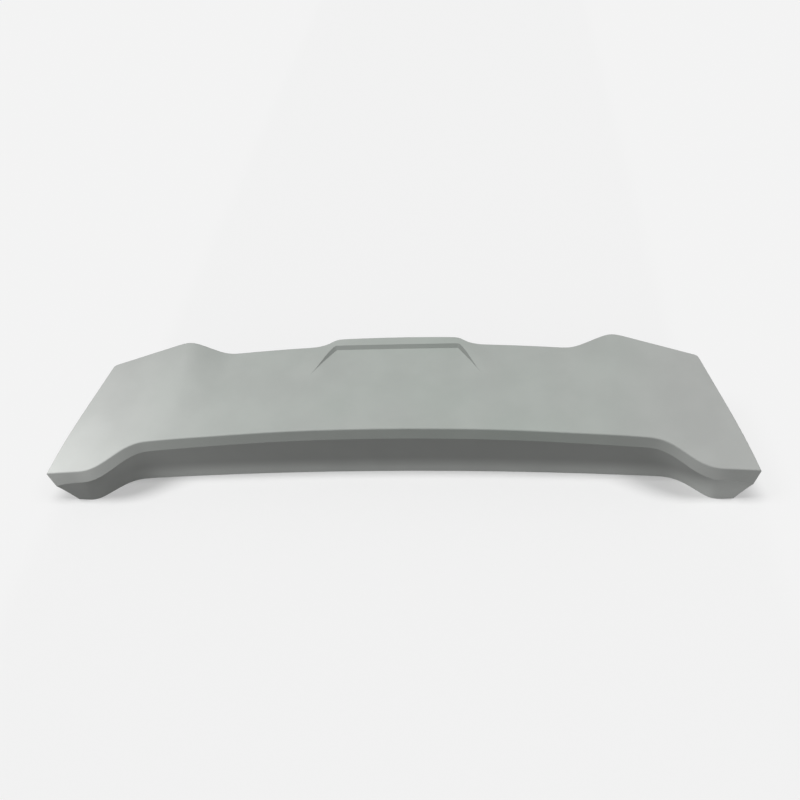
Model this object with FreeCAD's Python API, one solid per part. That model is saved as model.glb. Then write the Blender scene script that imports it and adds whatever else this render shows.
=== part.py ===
"""Rear roof spoiler: one hollow glass-fibre moulding, lying on its bonding flange.

Millimetres. +X runs along the width, +Y from the lip edge to the eared edge, +Z up.
The floor is at Z 0 and the tips of the lip edge are at Y 0 until the last step, which
puts the origin below the middle of the moulding's box.
"""
import FreeCAD, Part
import math
import os

Vector = FreeCAD.Vector

# Overall form
HALF_WIDTH = 575.0          # middle to the tip of the lip edge
SKIN = 4.0                  # wall of the moulding
FLANGE = 20.0               # flange turned in round the open underside

# Top skin, on a line through the tips
FRONT_Z = 110.5             # in the middle
FRONT_CROWN = 31.8          # drop from the middle to the tip
CAMBER = 3.0
EAR_FADE_Y = 40.0           # where the lift of the ears starts
TOP_RADIUS = 2.5            # rounding all round the skin

# Lip edge seen from above: a shallow bow, an S bend and an end that comes forward
END_LENGTH = 83.0           # tip to the foot of the S bend
BEND_RUN = 56.5             # foot of the S bend to its shoulder
BEND_EASE = 23.5            # half length of each rounded corner of the S bend
LIP_MIDDLE_Y = 62.5
LIP_BOW_EASE = 262.0        # half length of the rounded middle of the bow
SHOULDER_Y = 46.0
BEND_FOOT_Y = -2.6
BEND_FOOT_X = HALF_WIDTH - END_LENGTH
SHOULDER_X = BEND_FOOT_X - BEND_RUN

# Lip face, and the wall below it
LIP_HEIGHT = 22.5
LIP_END_HEIGHT = 26.2       # past the S bend
LIP_TIP_HEIGHT = 34.1
LIP_FLARE = 43.0            # length over which the lip deepens towards the tip

# Foot of the wall, on the floor: the lip edge's line carried back under the moulding
FOOT_MIDDLE_INSET = 31.2
FOOT_BOW_EASE = 380.0       # half length of the rounded middle of its bow
FOOT_SHOULDER_INSET = 19.0
FOOT_BEND_INSET = 16.6
FOOT_TIP_INSET = 18.5
FOOT_SHOULDER_SHIFT = 30.5  # towards the tip, from the same corner of the lip edge
FOOT_SHOULDER_EASE = 22.0
FOOT_BEND_SHIFT = 19.0
FOOT_BEND_EASE = 10.0
FOOT_TRIM = 4.0             # trimmed off flat at the floor

# Eared edge, from the middle to a valley, up to an ear and down to the corner
CORNER_INSET = 66.0         # corner, inwards from the tip
CORNER_RADIUS = 10.0
EAR_RUN = 144.5             # ear to corner
EAR_SLOPE_RUN = 61.6        # valley to ear
EAR_EASE = 13.0
VALLEY_EASE = 15.0
EDGE_MIDDLE_Y = 269.4
EDGE_BOW = 31.6             # valley in front of the middle
EAR_SETBACK = 2.0           # ear behind the valley
CORNER_SWEEP = 24.4         # corner in front of the ear
EDGE_RISE = 35.7            # middle of the edge above the middle of the front line
VALLEY_DIP = 5.6
EAR_RISE = 30.3             # ear above the valley
CORNER_DROP = 3.2           # corner below the valley
CORNER_X = HALF_WIDTH - CORNER_INSET
EAR_X = CORNER_X - EAR_RUN
VALLEY_X = EAR_X - EAR_SLOPE_RUN
VALLEY_Y = EDGE_MIDDLE_Y - EDGE_BOW
EAR_Y = VALLEY_Y + EAR_SETBACK
CORNER_Y = EAR_Y - CORNER_SWEEP
EDGE_MIDDLE_Z = FRONT_Z + EDGE_RISE
VALLEY_Z = EDGE_MIDDLE_Z - VALLEY_DIP
EAR_Z = VALLEY_Z + EAR_RISE
CORNER_Z = VALLEY_Z - CORNER_DROP
EDGE_MIDDLE_EASE = VALLEY_X - VALLEY_EASE
EDGE_LIP = 14.0
EDGE_LIP_LEAN = 2.0
BACK_INSET = 36.0           # foot of the back wall in front of the eared edge
END_DRAFT = 15.4            # degrees, each end leaning in towards its foot

# Raised rim at the middle of the eared edge, round three sides of a sunk panel
RIM_RISE = 6.0
RIM_HALF_WIDTH = 110.2      # level part, at the edge
RIM_SETBACK = 9.3           # how far the rim carries the edge back
RIM_SKIRT = 15.0            # slope beside the level part
RIM_SINK = 0.25             # how far the rim's surface runs under the skin round it
PANEL_INSET = 28.0          # back of the panel, in front of the eared edge
PANEL_LENGTH = 57.4         # from there to where the panel's sides run out
PANEL_MARGIN = 3.0          # level part past the panel's back corner
PANEL_HALF_WIDTH = RIM_HALF_WIDTH - PANEL_MARGIN
PANEL_BACK_Y = EDGE_MIDDLE_Y - PANEL_INSET
PANEL_FADE_Y = PANEL_BACK_Y - PANEL_LENGTH
PANEL_SPLAY = 0.74          # sideways for each unit forward
PANEL_STEP_RUN = 4.5        # slope of the step round the panel, over the rim's rise
PANEL_CORNER = 9.0

# Spacing of the sections, and spare length for the cuts
SECTIONS = 46               # from the middle to a tip
PITCH = HALF_WIDTH / SECTIONS
INNER_PITCH = 2.4 * PITCH   # the laid-up inside is softer than the outside
SKIN_ROWS = 8
SPARE = 45.0
DEEP = 400.0
TOLERANCE = 1e-4


def smooth(value):
    """Ease from 0 to 1, level at both ends."""
    t = min(max(value, 0.0), 1.0)
    return t * t * (3.0 - 2.0 * t)


def eased(x, corners):
    """Value at x of straight runs through corners (x, value, ease), each rounded over its ease."""
    start, end = corners[0], corners[1]
    for before, after in zip(corners, corners[1:]):
        if x >= before[0]:
            start, end = before, after
    value = start[1] + (end[1] - start[1]) * (x - start[0]) / (end[0] - start[0])
    for before, corner, after in zip(corners, corners[1:], corners[2:]):
        at, level, ease = corner
        if abs(x - at) < ease:
            slope_in = (level - before[1]) / (at - before[0])
            slope_out = (after[1] - level) / (after[0] - at)
            turn = (slope_out - slope_in) * (x - at + ease) ** 2 / (4.0 * ease)
            value = level + slope_in * (x - at) + turn
    return value


def lip_y(a):
    return eased(a, [
        (-SHOULDER_X, SHOULDER_Y, 0.0),
        (0.0, LIP_MIDDLE_Y, LIP_BOW_EASE),
        (SHOULDER_X, SHOULDER_Y, BEND_EASE),
        (BEND_FOOT_X, BEND_FOOT_Y, BEND_EASE),
        (HALF_WIDTH, 0.0, 0.0),
    ])


def edge_run(a, middle, valley, ear, corner):
    """One coordinate of the eared edge, without the rim."""
    return eased(a, [
        (-VALLEY_X, valley, 0.0),
        (0.0, middle, EDGE_MIDDLE_EASE),
        (VALLEY_X, valley, VALLEY_EASE),
        (EAR_X, ear, EAR_EASE),
        (CORNER_X, corner, 0.0),
    ])


def edge_z(a):
    return edge_run(a, EDGE_MIDDLE_Z, VALLEY_Z, EAR_Z, CORNER_Z)


def low_edge_z(a):
    """Height of the eared edge with its ears taken down."""
    share = (EAR_X - VALLEY_X) / (CORNER_X - VALLEY_X)
    return edge_run(a, EDGE_MIDDLE_Z, VALLEY_Z, VALLEY_Z + (CORNER_Z - VALLEY_Z) * share, CORNER_Z)


def plain_edge_y(a):
    return edge_run(a, EDGE_MIDDLE_Y, VALLEY_Y, EAR_Y, CORNER_Y)


def edge_y(a):
    return plain_edge_y(a) + RIM_SETBACK * (1.0 - smooth((a - RIM_HALF_WIDTH) / RIM_SKIRT))


def skin_z(a, y):
    """Height of the top skin, without the rim."""
    front = FRONT_Z - FRONT_CROWN * (a / HALF_WIDTH) ** 2
    back = edge_y(a)
    t = y / back
    lift = max(y - EAR_FADE_Y, 0.0) / (back - EAR_FADE_Y)
    ears = (edge_z(a) - low_edge_z(a)) * lift ** 1.5
    return front + (low_edge_z(a) - front) * t + 4.0 * CAMBER * t * (1.0 - t) + ears


def lip_height(a):
    start = SHOULDER_X - BEND_EASE
    end = smooth((a - start) / (BEND_FOOT_X + BEND_EASE - start))
    flare = max(a - HALF_WIDTH + LIP_FLARE, 0.0) / LIP_FLARE
    return LIP_HEIGHT + (LIP_END_HEIGHT - LIP_HEIGHT) * end + (LIP_TIP_HEIGHT - LIP_END_HEIGHT) * flare ** 2


def foot_y(a):
    """Foot of the wall below the lip."""
    shoulder = (SHOULDER_X + FOOT_SHOULDER_SHIFT, SHOULDER_Y + FOOT_SHOULDER_INSET)
    return eased(a, [
        (-shoulder[0], shoulder[1], 0.0),
        (0.0, LIP_MIDDLE_Y + FOOT_MIDDLE_INSET, FOOT_BOW_EASE),
        (*shoulder, FOOT_SHOULDER_EASE),
        (BEND_FOOT_X + FOOT_BEND_SHIFT, BEND_FOOT_Y + FOOT_BEND_INSET, FOOT_BEND_EASE),
        (HALF_WIDTH, FOOT_TIP_INSET, 0.0),
    ])


def panel_side(y):
    """Half width of the sunk panel at y."""
    return PANEL_HALF_WIDTH + PANEL_SPLAY * (PANEL_BACK_Y - y)


def rim_z(a, y):
    """Height of the raised rim, which runs out under the skin round it."""
    fade = smooth((y - PANEL_FADE_Y) / (PANEL_BACK_Y - PANEL_FADE_Y))
    level = RIM_HALF_WIDTH - panel_side(edge_y(0.0))
    skirt = 1.0 - smooth((a - panel_side(y) - level) / RIM_SKIRT)
    return skin_z(a, y) + (RIM_RISE + RIM_SINK) * fade * skirt - RIM_SINK


def spans(half_length, pitch):
    """Ends of the spans of a smooth face along X."""
    count = math.ceil(half_length / pitch)
    return [i * half_length / count for i in range(-count, count + 1)]


def stations(places):
    """Places along X of the rows of points that hold a smooth face with these spans."""
    padded = [places[0]] * 2 + places + [places[-1]] * 2
    return [sum(padded[i:i + 3]) / 3.0 for i in range(len(padded) - 2)]


def spline_face(rows, places):
    """Smooth face held by rows of points, each row across X."""
    across = min(len(rows[0]) - 1, 3)
    across_spans = len(rows[0]) - across
    across_knots = [float(i) for i in range(across_spans + 1)]
    counts = [across + 1] + [1] * (across_spans - 1) + [across + 1]
    along_counts = [4] + [1] * (len(places) - 2) + [4]
    surface = Part.BSplineSurface()
    surface.buildFromPolesMultsKnots(
        rows, along_counts, counts, places, across_knots, False, False, 3, across)
    return surface.toShape()


def below(height, half_length, front, back, pitch):
    """Everything below a surface given by its height over X and Y."""
    places = spans(half_length, pitch)
    rows = []
    for x in stations(places):
        depth = back(abs(x)) - front(abs(x))
        points = [front(abs(x)) + depth * i / (SKIN_ROWS - 1.0) for i in range(SKIN_ROWS)]
        rows.append([Vector(x, y, height(abs(x), y)) for y in points])
    return spline_face(rows, places).extrude(Vector(0, 0, -DEEP))


def under_skin(pitch):
    return below(skin_z, HALF_WIDTH + SPARE, lambda a: -SPARE, lambda a: edge_y(a) + SPARE, pitch)


def along_x(section, pitch):
    """Solid with straight-sided sections along X."""
    places = spans(HALF_WIDTH + SPARE, pitch)
    rings = [section(x) for x in stations(places)]
    corners = len(rings[0])
    sides = []
    for i in range(corners):
        sides.append(spline_face([[ring[i], ring[(i + 1) % corners]] for ring in rings], places))
    caps = [Part.Face(Part.makePolygon(ring + ring[:1])) for ring in (rings[0], rings[-1])]
    shell = Part.makeShell(sides + caps)
    shell.sewShape()
    return Part.makeSolid(shell)


def outline(inset, floor, pitch):
    """The moulding's lip, walls and eared edge, moved inwards, from the floor up past the skin."""
    def section(x):
        a = abs(x)
        lip = Vector(x, lip_y(a) + inset, skin_z(a, lip_y(a)))
        lip_foot = lip - Vector(0, 0, lip_height(a))
        rear = Vector(x, edge_y(a) - inset, edge_z(a))
        rear_foot = Vector(x, plain_edge_y(a) - inset - EDGE_LIP_LEAN, edge_z(a) - EDGE_LIP)
        return [
            lip * 3.0 - lip_foot * 2.0,
            lip_foot,
            Vector(x, foot_y(a) + inset, floor),
            Vector(x, plain_edge_y(a) - BACK_INSET - inset, floor),
            rear_foot,
            rear * 4.0 - rear_foot * 3.0,
        ]
    return along_x(section, pitch)


def opening():
    """Mouth inside the flange."""
    rim = SKIN + FLANGE

    def section(x):
        a = abs(x)
        front = foot_y(a) + rim
        back = plain_edge_y(a) - BACK_INSET - rim
        return [Vector(x, y, z) for y, z in (
            (front, 2.0 * SKIN), (front, -SPARE), (back, -SPARE), (back, 2.0 * SKIN))]
    return along_x(section, INNER_PITCH)


def end_x(y, z):
    """Half width at the leaning end."""
    tip_z = skin_z(HALF_WIDTH, 0.0)
    share = y / CORNER_Y
    top_x = HALF_WIDTH + (CORNER_X - HALF_WIDTH) * share
    top_z = tip_z + (CORNER_Z - tip_z) * share
    return top_x + (z - top_z) * math.tan(math.radians(END_DRAFT))


def between_ends(inset):
    """Space between the two leaning ends, moved inwards."""
    near, far, low, high = -SPARE, EDGE_MIDDLE_Y + SPARE, -SPARE, DEEP
    left, right = [[Vector(side * (end_x(y, z) - inset), y, z) for y, z in (
        (near, low), (far, low), (far, high), (near, high))] for side in (-1, 1)]
    quads = [left, right] + [[left[i], left[i - 1], right[i - 1], right[i]] for i in range(4)]
    shell = Part.makeShell([Part.Face(Part.makePolygon(quad + quad[:1])) for quad in quads])
    return Part.makeSolid(shell)


def panel():
    """Sunk panel, as a block with sloping sides that stands out above the rim."""
    front = PANEL_FADE_Y - SPARE
    level = skin_z(0.0, PANEL_BACK_Y)
    plans = []
    for rise in (-SPARE, SPARE):
        spread = PANEL_STEP_RUN * rise / RIM_RISE
        back = PANEL_BACK_Y + spread
        corners = [(-1, back), (1, back), (1, front), (-1, front), (-1, back)]
        sideways = spread * math.hypot(1.0, PANEL_SPLAY)
        plans.append(Part.makePolygon(
            [Vector(side * (panel_side(y) + sideways), y, level + rise) for side, y in corners]))
    block = Part.makeLoft(plans, True, True)
    back_edges = [edge for edge in block.Edges
                  if edge.BoundBox.ZLength > SPARE and edge.CenterOfMass.y > front + TOLERANCE]
    return block.makeFillet(PANEL_CORNER, back_edges)


def rounded(solid, radius, places):
    """Round the edges that pass nearest to the given places."""
    edges = [min(solid.Edges, key=lambda edge: edge.distToShape(Part.Vertex(place))[0]) for place in places]
    return solid.makeFillet(radius, edges).Solids[0]


def outer_body():
    """The moulding's outside, filled."""
    whole = HALF_WIDTH + SPARE
    rim_reach = panel_side(PANEL_FADE_Y) + 2.0 * RIM_SKIRT
    rim = below(rim_z, rim_reach, lambda a: PANEL_FADE_Y - RIM_SKIRT, lambda a: edge_y(a) + SPARE, PITCH)
    under_top = under_skin(PITCH).fuse(rim.cut(panel()))
    above_floor = Part.makeBox(2.0 * whole, DEEP, DEEP, Vector(-whole, -SPARE, 0))
    body = outline(0.0, -FOOT_TRIM, PITCH).common(under_top)
    body = body.common(between_ends(0.0)).common(above_floor).Solids[0]

    rear_z = CORNER_Z - EDGE_LIP / 2.0
    wall_y = CORNER_Y - BACK_INSET / 2.0
    wall_z = (CORNER_Z - EDGE_LIP) / 2.0
    corners = [Vector(side * end_x(y, z), y, z) for side in (-1, 1)
               for y, z in ((CORNER_Y, rear_z), (wall_y, wall_z))]
    body = rounded(body, CORNER_RADIUS, corners)
    lip = Vector(0, lip_y(0.0), skin_z(0.0, lip_y(0.0)))
    side_y = CORNER_Y / 2.0
    side_z = (skin_z(HALF_WIDTH, 0.0) + CORNER_Z) / 2.0
    ends = [Vector(side * end_x(side_y, side_z), side_y, side_z) for side in (-1, 1)]
    return rounded(body, TOP_RADIUS, [lip] + ends)


def spoiler_shell():
    low_skin = under_skin(INNER_PITCH)
    low_skin.translate(Vector(0, 0, -SKIN))
    inside = outline(SKIN, SKIN, INNER_PITCH).common(low_skin).common(between_ends(SKIN))
    mouth = opening().common(between_ends(SKIN + FLANGE))
    return outer_body().cut(inside).cut(mouth).Solids[0]


def main():
    os.makedirs("parts", exist_ok=True)
    shell = spoiler_shell()
    box = shell.optimalBoundingBox()
    shell.translate(Vector(-box.Center.x, -box.Center.y, -box.ZMin))
    shell.exportStep("parts/spoiler_shell.step")


main()
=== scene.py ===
"""Rear spoiler: one unpainted glass-fibre moulding on a pale studio floor."""
import math

import bpy
from mathutils import Matrix, Vector

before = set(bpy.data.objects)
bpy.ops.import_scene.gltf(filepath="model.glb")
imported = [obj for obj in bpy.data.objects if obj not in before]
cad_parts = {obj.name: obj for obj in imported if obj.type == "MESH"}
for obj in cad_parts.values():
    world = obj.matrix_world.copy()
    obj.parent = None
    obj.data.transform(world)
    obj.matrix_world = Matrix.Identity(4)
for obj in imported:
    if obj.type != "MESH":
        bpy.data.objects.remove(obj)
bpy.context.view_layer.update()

bl_info = {
    "name": "Rear spoiler",
    "version": (1, 0, 0),
    "blender": (4, 5, 0),
    "location": "3D View > Sidebar > Spoiler",
    "description": "Finishes the moulded rear spoiler and lights it on a pale floor",
    "category": "Object",
}

FLOOR_SIZE = 60.0
SENSOR_WIDTH = 36.0
# noise detail, the range of the noise that shades are spread over, and the least of the greener grey
CLOUD_DETAIL = 2.0
MOTTLE_DETAIL = 4.0
CLOUD_RANGE = (0.3, 0.7)
CLOUD_LEAST = 0.45
# painted shade goes on the step round the sunk panel: only it faces the front and slopes this steeply,
# this far back
STEP_LEAN = (-0.2, -0.35)
STEP_TOO_FLAT = (0.82, 0.68)
STEP_TOO_STEEP = (0.1, 0.3)
STEP_PLACE = (0.02, 0.04)
# painted light makes the foot of the front walls paler, not at the left end, and higher up at the right
# end
FRONT_LEAN = (-0.1, -0.4)
LEFT_END = (-0.5, -0.4)
RIGHT_END = (0.44, 0.52)
RIGHT_END_SQUEEZE = 0.35
# from the front of the object's slanting ends to their back
END_RUN = (-0.13, 0.13)
# the lip is upright and the wall below it faces down
LIP_TILT = (-0.25, -0.05)
WALL_TILT = (-0.05, -0.25)


class FinishSettings(bpy.types.PropertyGroup):
    """Colours and textures of the moulding"""
    gelcoat: bpy.props.FloatVectorProperty(
        name="Gelcoat", description="Greener grey of the unpainted outside, round the middle",
        subtype="COLOR", size=3, min=0.0, max=1.0, default=(0.389, 0.421, 0.394))
    plain_grey: bpy.props.FloatVectorProperty(
        name="Plain grey", description="Plainer grey of the unpainted outside, towards the ends",
        subtype="COLOR", size=3, min=0.0, max=1.0, default=(0.400, 0.411, 0.398))
    plain_from: bpy.props.FloatProperty(
        name="Plain from", description="Distance from the middle where the plainer grey starts",
        unit="LENGTH", default=0.22, min=0.0)
    plain_full: bpy.props.FloatProperty(
        name="Plain full", description="Distance from the middle where only the plainer grey is left",
        unit="LENGTH", default=0.52, min=0.0)
    cloud_size: bpy.props.FloatProperty(
        name="Cloud size", description="Width of the clouds of the two greys",
        unit="LENGTH", default=0.22, min=0.01)
    mottle: bpy.props.FloatProperty(
        name="Mottle", description="How much darker the mottled patches are",
        subtype="FACTOR", default=0.06, min=0.0, max=1.0)
    mottle_size: bpy.props.FloatProperty(
        name="Mottle size", description="Width of the mottled patches",
        unit="LENGTH", default=0.07, min=0.001)
    roughness: bpy.props.FloatProperty(
        name="Roughness", description="Roughness of the gelcoat",
        subtype="FACTOR", default=0.6, min=0.0, max=1.0)
    roughness_spread: bpy.props.FloatProperty(
        name="Roughness spread", description="How far the roughness wanders each way",
        subtype="FACTOR", default=0.08, min=0.0, max=1.0)
    sheen: bpy.props.FloatProperty(
        name="Sheen", description="Level of the gelcoat's mirror light",
        subtype="FACTOR", default=0.22, min=0.0, max=1.0)
    grain_size: bpy.props.FloatProperty(
        name="Grain size", description="Width of the sprayed grain",
        unit="LENGTH", default=0.0022, min=0.0001)
    grain_depth: bpy.props.FloatProperty(
        name="Grain depth", description="Depth of the sprayed grain",
        unit="LENGTH", default=0.0002, min=0.0)
    grain_strength: bpy.props.FloatProperty(
        name="Grain strength", description="How strongly the sprayed grain shows",
        subtype="FACTOR", default=0.25, min=0.0, max=1.0)
    # painted shade: darkens the colour of the step round the sunk panel
    step_painted_shade: bpy.props.FloatProperty(
        name="Step shade", description="How much darker the step round the sunk panel is",
        subtype="FACTOR", default=0.3, min=0.0, max=1.0)
    # painted light: pales the colour of the foot of the front walls, up to the height below
    foot_painted_light: bpy.props.FloatProperty(
        name="Foot paleness", description="How much paler the foot of the front walls is",
        subtype="FACTOR", default=0.95, min=0.0, max=1.0)
    foot_painted_light_height: bpy.props.FloatProperty(
        name="Foot height", description="Height over the floor where the paler foot ends",
        unit="LENGTH", default=0.045, min=0.001)
    bend_roll: bpy.props.FloatProperty(
        name="Bend roll", description="How far the lip rolls back in its bends",
        subtype="FACTOR", default=0.32, min=0.0, max=1.0)
    bend_place: bpy.props.FloatProperty(
        name="Bend place", description="Distance of the lip's bends from the middle",
        unit="LENGTH", default=0.475, min=0.0)
    bend_reach: bpy.props.FloatProperty(
        name="Bend reach", description="Distance over which the roll fades out",
        unit="LENGTH", default=0.062, min=0.001)


class StageSettings(bpy.types.PropertyGroup):
    """Floor, lamps and camera"""
    floor_colour: bpy.props.FloatVectorProperty(
        name="Floor", description="Colour of the floor", subtype="COLOR",
        size=3, min=0.0, max=1.0, default=(0.9, 0.9, 0.9))
    floor_bounce: bpy.props.FloatVectorProperty(
        name="Floor bounce", description="Colour of the light that the floor throws back",
        subtype="COLOR", size=3, min=0.0, max=1.0, default=(0.2, 0.2, 0.2))
    glow_start: bpy.props.FloatProperty(
        name="Glow start", description="Distance from the middle where the floor starts to glow",
        unit="LENGTH", default=0.56, min=0.0)
    glow_full: bpy.props.FloatProperty(
        name="Glow full", description="Distance from the middle where the floor glows fully",
        unit="LENGTH", default=0.61, min=0.0)
    glow_draw_in: bpy.props.FloatProperty(
        name="Glow draw-in", description="How far the glow draws in behind the object's slanting ends",
        unit="LENGTH", default=0.07, min=0.0)
    glow_share: bpy.props.FloatProperty(
        name="Glow share", description="Share of the floor's light that comes from below there",
        subtype="FACTOR", default=0.9, min=0.0, max=1.0)
    left_end_lamp: bpy.props.FloatProperty(
        name="Left end lamp", description="Power of the small lamp over the left end",
        unit="POWER", default=2.3, min=0.0)
    left_end_place: bpy.props.FloatVectorProperty(
        name="Left end lamp's place", description="Place of the small lamp over the left end",
        subtype="TRANSLATION", unit="LENGTH", size=3, default=(-0.635, -0.22, 0.28))
    right_end_lamp: bpy.props.FloatProperty(
        name="Right end lamp", description="Power of the small lamp before the right end",
        unit="POWER", default=0.26, min=0.0)
    right_end_place: bpy.props.FloatVectorProperty(
        name="Right end lamp's place", description="Place of the small lamp before the right end",
        subtype="TRANSLATION", unit="LENGTH", size=3, default=(0.61, -0.34, 0.12))
    end_lamp_size: bpy.props.FloatProperty(
        name="End lamp size", description="Radius of the two small lamps",
        unit="LENGTH", default=0.15, min=0.0)
    left_lamp: bpy.props.FloatProperty(
        name="Left lamp", description="Strength of the lamp on the left", default=1.55, min=0.0)
    right_lamp: bpy.props.FloatProperty(
        name="Right lamp", description="Strength of the lamp on the right", default=1.4, min=0.0)
    lamp_turn: bpy.props.FloatProperty(
        name="Lamp turn", description="Turn of each lamp from the front towards its side",
        subtype="ANGLE", default=math.radians(70.5))
    lamp_height: bpy.props.FloatProperty(
        name="Lamp height", description="Angle of each lamp above the floor",
        subtype="ANGLE", default=math.radians(53.4))
    lamp_spread: bpy.props.FloatProperty(
        name="Lamp spread", description="Angle that each lamp fills, seen from the object",
        subtype="ANGLE", default=math.radians(20.0))
    fill: bpy.props.FloatProperty(
        name="Fill", description="Strength of the even light from all round", default=0.23, min=0.0)
    camera_place: bpy.props.FloatVectorProperty(
        name="Camera", description="Place of the camera", subtype="TRANSLATION",
        unit="LENGTH", size=3, default=(0.1732, -1.1463, 1.0877))
    camera_turn: bpy.props.FloatProperty(
        name="Turn", description="Turn of the camera about the upright",
        subtype="ANGLE", default=math.radians(8.035))
    camera_dip: bpy.props.FloatProperty(
        name="Dip", description="Angle by which the camera looks down",
        subtype="ANGLE", default=math.radians(40.0))
    camera_roll: bpy.props.FloatProperty(
        name="Roll", description="Roll of the camera", subtype="ANGLE",
        default=math.radians(-5.932))
    lens: bpy.props.FloatProperty(
        name="Lens", description="Focal length on a 36 mm sensor", unit="CAMERA",
        default=40.5, min=10.0)


def new_material(name):
    """Material with its nodes, its links and its main shader."""
    material = bpy.data.materials.new(name)
    material.use_nodes = True
    nodes = material.node_tree.nodes
    return material, nodes, material.node_tree.links, nodes["Principled BSDF"]


def noise(nodes, links, place, size, detail):
    """Cloud pattern with patches about as wide as size."""
    clouds = nodes.new("ShaderNodeTexNoise")
    clouds.inputs["Scale"].default_value = 1.0 / size
    clouds.inputs["Detail"].default_value = detail
    links.new(place.outputs["Object"], clouds.inputs["Vector"])
    return clouds.outputs["Fac"]


def graded(nodes, links, value, start, full, low, high):
    """Low where value is at start, high where it is at full, with an eased run between."""
    grade = nodes.new("ShaderNodeMapRange")
    grade.interpolation_type = "SMOOTHSTEP"
    for name, number in zip(("From Min", "From Max", "To Min", "To Max"), (start, full, low, high)):
        grade.inputs[name].default_value = number
    links.new(value, grade.inputs["Value"])
    return grade.outputs["Result"]


def calculated(nodes, links, operation, *values):
    """Result of one step of arithmetic on outputs or plain numbers."""
    step = nodes.new("ShaderNodeMath")
    step.operation = operation
    for socket, value in zip(step.inputs, values):
        if isinstance(value, float):
            socket.default_value = value
        else:
            links.new(value, socket)
    return step.outputs["Value"]


def parts_of(nodes, links, vector):
    """Outputs X, Y and Z of a place or a normal."""
    parts = nodes.new("ShaderNodeSeparateXYZ")
    links.new(vector, parts.inputs["Vector"])
    return parts.outputs


def gelcoat_colour(settings, nodes, links, place):
    """Two greys in clouds, darker in the mottling, with painted shade on the panel's step and painted
    light at the foot.
    """
    tint = nodes.new("ShaderNodeMix")
    tint.data_type = "RGBA"
    tint.inputs["A"].default_value = (*settings.plain_grey, 1.0)
    tint.inputs["B"].default_value = (*settings.gelcoat, 1.0)
    clouds = noise(nodes, links, place, settings.cloud_size, CLOUD_DETAIL)
    green = graded(nodes, links, clouds, *CLOUD_RANGE, CLOUD_LEAST, 1.0)
    spot = parts_of(nodes, links, place.outputs["Object"])
    side = calculated(nodes, links, "ABSOLUTE", spot["X"])
    inner = graded(nodes, links, side, settings.plain_full, settings.plain_from, 0.0, 1.0)
    lean = parts_of(nodes, links, place.outputs["Normal"])
    above_wall = graded(nodes, links, lean["Z"], *LIP_TILT, 0.0, 1.0)
    for amount in (inner, above_wall):
        green = calculated(nodes, links, "MULTIPLY", green, amount)
    links.new(green, tint.inputs["Factor"])

    patches = noise(nodes, links, place, settings.mottle_size, MOTTLE_DETAIL)
    shade = graded(nodes, links, patches, *CLOUD_RANGE, 1.0 - settings.mottle, 1.0)
    # painted shade on the step round the sunk panel
    step = graded(nodes, links, lean["Y"], *STEP_LEAN, 0.0, settings.step_painted_shade)
    step_limits = ((lean["Z"], STEP_TOO_FLAT), (lean["Z"], STEP_TOO_STEEP), (spot["Y"], STEP_PLACE))
    for value, limits in step_limits:
        on_step = graded(nodes, links, value, *limits, 0.0, 1.0)
        step = calculated(nodes, links, "MULTIPLY", step, on_step)
    off_step = calculated(nodes, links, "SUBTRACT", 1.0, step)
    shade = calculated(nodes, links, "MULTIPLY", shade, off_step)
    # painted light at the foot of the front walls, reaching higher at the right end
    squeeze = graded(nodes, links, spot["X"], *RIGHT_END, 1.0, RIGHT_END_SQUEEZE)
    height = calculated(nodes, links, "MULTIPLY", spot["Z"], squeeze)
    foot = graded(nodes, links, height, 0.0, settings.foot_painted_light_height, settings.foot_painted_light, 0.0)
    foot_limits = ((lean["Y"], FRONT_LEAN), (lean["Z"], WALL_TILT), (spot["X"], LEFT_END))
    for value, limits in foot_limits:
        on_foot = graded(nodes, links, value, *limits, 0.0, 1.0)
        foot = calculated(nodes, links, "MULTIPLY", foot, on_foot)
    pale = calculated(nodes, links, "ADD", 1.0, foot)
    shade = calculated(nodes, links, "MULTIPLY", shade, pale)

    shaded = nodes.new("ShaderNodeVectorMath")
    shaded.operation = "SCALE"
    links.new(tint.outputs["Result"], shaded.inputs["Vector"])
    links.new(shade, shaded.inputs["Scale"])
    return shaded.outputs["Vector"]


def rolled_lip(settings, nodes, links, place):
    """Normal that rolls the upright lip back in its bends, where its edge is roundest."""
    spot = parts_of(nodes, links, place.outputs["Object"])
    side = calculated(nodes, links, "ABSOLUTE", spot["X"])
    from_bend = calculated(nodes, links, "SUBTRACT", side, settings.bend_place)
    off = calculated(nodes, links, "ABSOLUTE", from_bend)
    roll = graded(nodes, links, off, settings.bend_reach, 0.0, 0.0, settings.bend_roll)
    lean = parts_of(nodes, links, place.outputs["Normal"])
    on_lip = graded(nodes, links, lean["Z"], *LIP_TILT, 0.0, 1.0)
    lift = nodes.new("ShaderNodeCombineXYZ")
    links.new(calculated(nodes, links, "MULTIPLY", roll, on_lip), lift.inputs["Z"])
    rolled = nodes.new("ShaderNodeVectorMath")
    rolled.operation = "ADD"
    links.new(nodes.new("ShaderNodeNewGeometry").outputs["Normal"], rolled.inputs[0])
    links.new(lift.outputs["Vector"], rolled.inputs[1])
    evened = nodes.new("ShaderNodeVectorMath")
    evened.operation = "NORMALIZE"
    links.new(rolled.outputs["Vector"], evened.inputs[0])
    return evened.outputs["Vector"]


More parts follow.
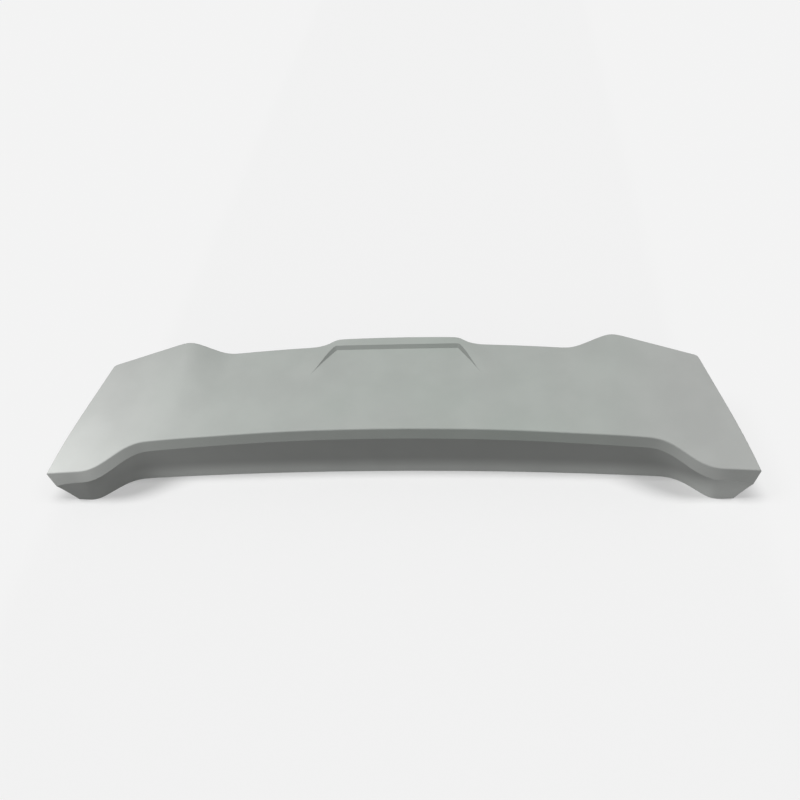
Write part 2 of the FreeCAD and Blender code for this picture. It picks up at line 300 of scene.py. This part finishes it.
def gelcoat_material(settings):
    """Flat grey gelcoat with a fine sprayed grain."""
    material, nodes, links, shader = new_material("grey_gelcoat")
    place = nodes.new("ShaderNodeTexCoord")
    links.new(gelcoat_colour(settings, nodes, links, place), shader.inputs["Base Color"])

    patches = noise(nodes, links, place, settings.mottle_size, MOTTLE_DETAIL)
    smoothest = settings.roughness - settings.roughness_spread
    roughest = settings.roughness + settings.roughness_spread
    links.new(graded(nodes, links, patches, 0.0, 1.0, smoothest, roughest), shader.inputs["Roughness"])
    shader.inputs["Specular IOR Level"].default_value = settings.sheen

    grain = nodes.new("ShaderNodeBump")
    grain.inputs["Strength"].default_value = settings.grain_strength
    grain.inputs["Distance"].default_value = settings.grain_depth
    links.new(noise(nodes, links, place, settings.grain_size, CLOUD_DETAIL), grain.inputs["Height"])
    links.new(rolled_lip(settings, nodes, links, place), grain.inputs["Normal"])
    links.new(grain.outputs["Normal"], shader.inputs["Normal"])
    return material


class SPOILER_OT_finish(bpy.types.Operator):
    """Give the moulding its gelcoat finish"""
    bl_idname = "spoiler.finish"
    bl_label = "Finish the moulding"

    def execute(self, context):
        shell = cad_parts["spoiler_shell"]
        shell.data.materials.clear()
        shell.data.materials.append(gelcoat_material(context.scene.spoiler_finish))
        return {"FINISHED"}


def add_sun(name, direction, strength, spread):
    """Far lamp whose light comes from direction."""
    lamp = bpy.data.lights.new(name, "SUN")
    lamp.energy = strength
    lamp.angle = spread
    body = bpy.data.objects.new(name, lamp)
    bpy.context.scene.collection.objects.link(body)
    body.rotation_euler = Vector(direction).to_track_quat("Z", "Y").to_euler()


def add_end_lamp(name, place, power, size, receiver):
    """Small lamp close to one end, for the moulding alone."""
    lamp = bpy.data.lights.new(name, "POINT")
    lamp.energy = power
    lamp.shadow_soft_size = size
    body = bpy.data.objects.new(name, lamp)
    body.location = place
    bpy.context.scene.collection.objects.link(body)
    receivers = bpy.data.collections.new(name + "_receivers")
    receivers.objects.link(receiver)
    body.light_linking.receiver_collection = receivers


def seen_directly(nodes, links):
    """1 for rays that show the stage: from the camera, in a reflection or through glass."""
    path = nodes.new("ShaderNodeLightPath")
    seen = path.outputs["Is Camera Ray"]
    for ray in ("Is Glossy Ray", "Is Transmission Ray"):
        either = nodes.new("ShaderNodeMath")
        either.operation = "MAXIMUM"
        links.new(seen, either.inputs[0])
        links.new(path.outputs[ray], either.inputs[1])
        seen = either.outputs["Value"]
    return seen


def floor_material(settings):
    """Pale paper that throws back less light than it shows, lit from below past the object's ends."""
    material, nodes, links, shader = new_material("floor_paper")
    shader.inputs["Roughness"].default_value = 1.0
    shader.inputs["Specular IOR Level"].default_value = 0.0
    seen = seen_directly(nodes, links)
    colour = nodes.new("ShaderNodeMix")
    colour.data_type = "RGBA"
    colour.inputs["A"].default_value = (*settings.floor_bounce, 1.0)
    colour.inputs["B"].default_value = (*settings.floor_colour, 1.0)
    links.new(seen, colour.inputs["Factor"])
    links.new(colour.outputs["Result"], shader.inputs["Base Color"])

    glow = nodes.new("ShaderNodeEmission")
    glow.inputs["Color"].default_value = (*settings.floor_colour, 1.0)
    place = nodes.new("ShaderNodeTexCoord")
    spot = parts_of(nodes, links, place.outputs["Object"])
    side = calculated(nodes, links, "ABSOLUTE", spot["X"])
    nearer = graded(nodes, links, spot["Y"], *END_RUN, 0.0, settings.glow_draw_in)
    reach = calculated(nodes, links, "ADD", side, nearer)
    past = graded(nodes, links, reach, settings.glow_start, settings.glow_full, 0.0, settings.glow_share)
    mix = nodes.new("ShaderNodeMixShader")
    links.new(calculated(nodes, links, "MULTIPLY", past, seen), mix.inputs["Fac"])
    links.new(shader.outputs["BSDF"], mix.inputs[1])
    links.new(glow.outputs["Emission"], mix.inputs[2])
    links.new(mix.outputs["Shader"], nodes["Material Output"].inputs["Surface"])
    return material


def light_world(settings):
    """Even fill light, with the floor's colour where the world itself is seen."""
    world = bpy.data.worlds.new("studio")
    bpy.context.scene.world = world
    world.use_nodes = True
    nodes, links = world.node_tree.nodes, world.node_tree.links
    shown = nodes.new("ShaderNodeBackground")
    shown.inputs["Color"].default_value = (*settings.floor_colour, 1.0)
    fill = nodes["Background"]
    fill.inputs["Color"].default_value = (1.0, 1.0, 1.0, 1.0)
    fill.inputs["Strength"].default_value = settings.fill
    mix = nodes.new("ShaderNodeMixShader")
    links.new(seen_directly(nodes, links), mix.inputs["Fac"])
    links.new(fill.outputs["Background"], mix.inputs[1])
    links.new(shown.outputs["Background"], mix.inputs[2])
    links.new(mix.outputs["Shader"], nodes["World Output"].inputs["Surface"])


def place_camera(settings):
    """Camera turned about the upright, dipped, then rolled about its own line of sight."""
    turn, dip, roll = settings.camera_turn, settings.camera_dip, settings.camera_roll
    right = Vector((math.cos(turn), math.sin(turn), 0.0))
    ahead = Vector((-math.sin(turn) * math.cos(dip), math.cos(turn) * math.cos(dip), -math.sin(dip)))
    up = right.cross(ahead)
    tilted_right = right * math.cos(roll) + up * math.sin(roll)
    tilted_up = up * math.cos(roll) - right * math.sin(roll)
    camera = bpy.data.objects.new("camera", bpy.data.cameras.new("camera"))
    bpy.context.scene.collection.objects.link(camera)
    camera.data.lens = settings.lens
    camera.data.sensor_width = SENSOR_WIDTH
    axes = Matrix((tilted_right, tilted_up, -ahead)).transposed()
    camera.matrix_world = Matrix.Translation(settings.camera_place) @ axes.to_4x4()
    bpy.context.scene.camera = camera


class SPOILER_OT_stage(bpy.types.Operator):
    """Lay the floor and set up the lamps and the camera"""
    bl_idname = "spoiler.stage"
    bl_label = "Set the stage"

    def execute(self, context):
        settings = context.scene.spoiler_stage
        bpy.ops.mesh.primitive_plane_add(size=FLOOR_SIZE)
        floor = context.active_object
        floor.name = "floor"
        floor.data.materials.append(floor_material(settings))
        light_world(settings)
        across, ahead = math.sin(settings.lamp_turn), -math.cos(settings.lamp_turn)
        rise = math.tan(settings.lamp_height)
        add_sun("left_lamp", (-across, ahead, rise), settings.left_lamp, settings.lamp_spread)
        add_sun("right_lamp", (across, ahead, rise), settings.right_lamp, settings.lamp_spread)
        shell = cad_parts["spoiler_shell"]
        add_end_lamp("left_end_lamp", settings.left_end_place, settings.left_end_lamp,
                     settings.end_lamp_size, shell)
        add_end_lamp("right_end_lamp", settings.right_end_place, settings.right_end_lamp,
                     settings.end_lamp_size, shell)
        place_camera(settings)
        context.scene.view_settings.view_transform = "Standard"
        return {"FINISHED"}


class SPOILER_PT_panel(bpy.types.Panel):
    """Sizes, colours and steps of the spoiler scene"""
    bl_label = "Rear spoiler"
    bl_idname = "SPOILER_PT_panel"
    bl_space_type = "VIEW_3D"
    bl_region_type = "UI"
    bl_category = "Spoiler"

    def draw(self, context):
        scene = context.scene
        steps = ((scene.spoiler_finish, SPOILER_OT_finish), (scene.spoiler_stage, SPOILER_OT_stage))
        for settings, step in steps:
            box = self.layout.box()
            for name in settings.__annotations__:
                box.prop(settings, name)
            box.operator(step.bl_idname)


CLASSES = (FinishSettings, StageSettings, SPOILER_OT_finish, SPOILER_OT_stage, SPOILER_PT_panel)


def register():
    for cls in CLASSES:
        bpy.utils.register_class(cls)
    bpy.types.Scene.spoiler_finish = bpy.props.PointerProperty(type=FinishSettings)
    bpy.types.Scene.spoiler_stage = bpy.props.PointerProperty(type=StageSettings)


def unregister():
    del bpy.types.Scene.spoiler_stage
    del bpy.types.Scene.spoiler_finish
    for cls in reversed(CLASSES):
        bpy.utils.unregister_class(cls)


def main():
    register()
    bpy.ops.spoiler.finish()
    bpy.ops.spoiler.stage()


if __name__ == "__main__":
    main()
